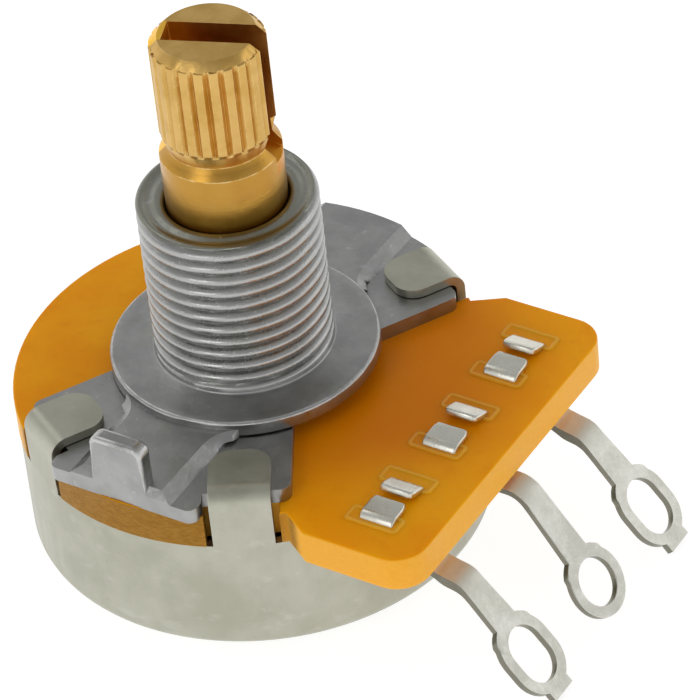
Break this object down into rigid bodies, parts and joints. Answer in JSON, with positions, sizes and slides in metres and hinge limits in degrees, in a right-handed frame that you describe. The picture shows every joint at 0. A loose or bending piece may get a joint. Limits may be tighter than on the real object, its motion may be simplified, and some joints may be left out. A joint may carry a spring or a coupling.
{
  "type": "rotary potentiometer",
  "caption": "Rotary potentiometer with a splined split shaft in a threaded bushing, solder lugs on a flat element board, and a metal back cover held by folded tabs.",
  "frame": {"origin": "centre of the mounting face, where the collar bears on the panel, on the shaft axis", "axes": "+Z out along the shaft, the solder lugs towards -Y, the locating ear at -X"},
  "size_m": [0.025, 0.0345, 0.0312],
  "materials": {
    "brass": "turned",
    "zinc_casting": "as cast, matt",
    "phenolic": "satin",
    "carbon": "matt",
    "silver_ink": "matt",
    "tinned_brass": "bright tin plate",
    "rotor_moulding": "moulded",
    "spring_bronze": "bright",
    "spring_steel": "satin",
    "tin_plate": "dull tin plate"
  },
  "bodies": {
    "housing": {"bushing_plate": "zinc_casting", "element_board": "phenolic", "resistive_track": "carbon", "end_pad_left": "silver_ink", "end_pad_right": "silver_ink", "terminal_left": "tinned_brass", "terminal_centre": "tinned_brass", "terminal_right": "tinned_brass", "spring_washer": "spring_steel", "back_cover": "tin_plate"},
    "rotor_group": {"shaft": "brass", "rotor": "rotor_moulding", "wiper": "spring_bronze", "retaining_ring": "spring_steel"}
  },
  "joints": [
    {"name": "shaft_turn", "type": "hinge", "parent": "housing", "child": "rotor_group", "pos_m": [0, 0, 0], "axis": [0, 0, 1], "range_deg": [-150, 150]}
  ]
}
